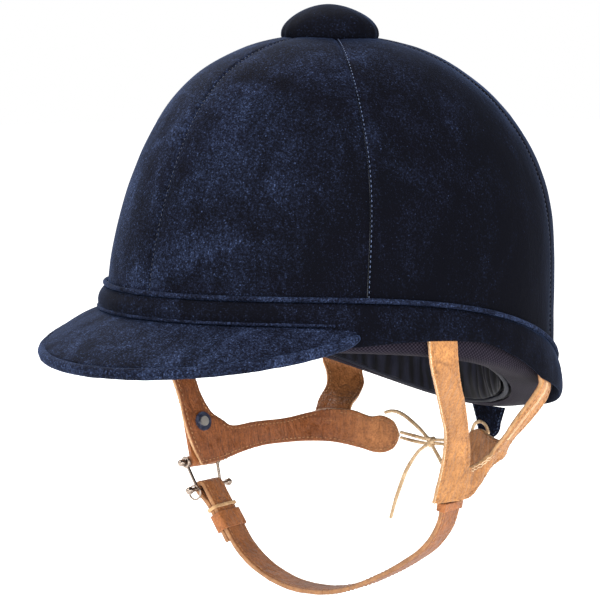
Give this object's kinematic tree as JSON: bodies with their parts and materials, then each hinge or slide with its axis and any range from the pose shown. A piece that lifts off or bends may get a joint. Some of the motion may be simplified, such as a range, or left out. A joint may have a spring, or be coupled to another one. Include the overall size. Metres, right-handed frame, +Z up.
{
  "type": "equestrian riding helmet",
  "caption": "Velvet-covered riding helmet with a sloping peak, a crown button, a padded band and a leather harness with a chin strap, wire bail and nape lace.",
  "frame": {"origin": "centre of the head opening, level with the lower edge of the band over the peak", "axes": "+Z up through the crown, -Y towards the peak, +X towards the wearer's left"},
  "size_m": [0.2218, 0.3031, 0.3127],
  "materials": {
    "velvet": "brushed navy velvet pile",
    "shell": "moulded black shell",
    "foam": "expanded foam beads",
    "padding": "black covered padding",
    "tape": "dark grey dotted weave",
    "lining": "near-black satin",
    "board": "stiff board",
    "leather": "tan leather",
    "suede": "brown napped leather",
    "stud": "dark blue-black enamel",
    "chrome": "polished",
    "steel": "plain",
    "lace": "beige waxed thong"
  },
  "bodies": {
    "helmet": {"outer_shell": "shell", "impact_liner": "foam", "crown_pad": "padding", "velvet_front_left": "velvet", "velvet_front_right": "velvet", "velvet_side_left": "velvet", "velvet_side_right": "velvet", "velvet_rear_left": "velvet", "velvet_rear_right": "velvet", "velvet_band": "velvet", "band_welt": "velvet", "rim_tape": "tape", "headband": "padding", "gathered_lining": "lining", "lining_piping": "lining", "lining_drawcord": "lining", "peak_board": "board", "peak_velvet": "velvet", "peak_lining": "tape", "peak_edge_roll": "velvet", "button_core": "board", "button_velvet": "velvet", "button_stem": "steel", "strap_anchors": "leather", "harness_rivets": "steel"},
    "nape_flap": {"nape_tab": "velvet"},
    "left_harness": {"left_harness_leather": "leather", "left_harness_lining": "suede", "left_lace_end": "lace"},
    "right_harness": {"right_harness_leather": "leather", "right_harness_lining": "suede", "stud_washer": "stud", "stud_post": "chrome", "nape_lace": "lace", "lace_strands": "lace", "lace_knot": "lace"},
    "billet": {"right_billet": "leather", "stud_cap": "stud", "upper_bar": "chrome"},
    "bail": {"wire_bail": "chrome"},
    "ring": {"bar_ring": "chrome"},
    "chin": {"chin_strap": "leather", "strap_end_loop": "leather", "cord_keeper": "suede"},
    "keeper": {"wide_keeper": "leather"}
  },
  "joints": [
    {"name": "left_harness_swing", "type": "hinge", "parent": "helmet", "child": "left_harness", "pos_m": [0.1053, -0.0256, -0.0086], "axis": [0.1128, -0.9299, 0.3501], "range_deg": [0, 30]},
    {"name": "right_harness_swing", "type": "hinge", "parent": "helmet", "child": "right_harness", "pos_m": [-0.1044, -0.03, -0.0082], "axis": [0.184, 0.9238, -0.3359], "range_deg": [0, 30]},
    {"name": "press_stud", "type": "slide", "parent": "right_harness", "child": "billet", "axis": [-0.9659, 0, -0.2588], "range_m": [0, 0.008]},
    {"name": "bail_swing", "type": "hinge", "parent": "billet", "child": "bail", "pos_m": [-0.08468, -0.0205, -0.0936], "axis": [0, 1, 0], "range_deg": [0, 40]},
    {"name": "ring_swing", "type": "hinge", "parent": "bail", "child": "ring", "pos_m": [-0.0783, -0.0204, -0.1074], "axis": [-0.2096, 0.9778, 0], "range_deg": [-45, 45]},
    {"name": "chin_strap_swing", "type": "hinge", "parent": "bail", "child": "chin", "pos_m": [-0.0783, -0.0204, -0.1074], "axis": [-0.2096, 0.9778, 0], "range_deg": [0, 60]},
    {"name": "keeper_slide", "type": "slide", "parent": "chin", "child": "keeper", "axis": [0.5433, 0.1165, -0.8314], "range_m": [0, 0.0045]},
    {"name": "nape_tab_swing", "type": "hinge", "parent": "helmet", "child": "nape_flap", "pos_m": [0, 0.1195, -0.0679], "axis": [1, 0, 0], "range_deg": [-50, 40]}
  ]
}
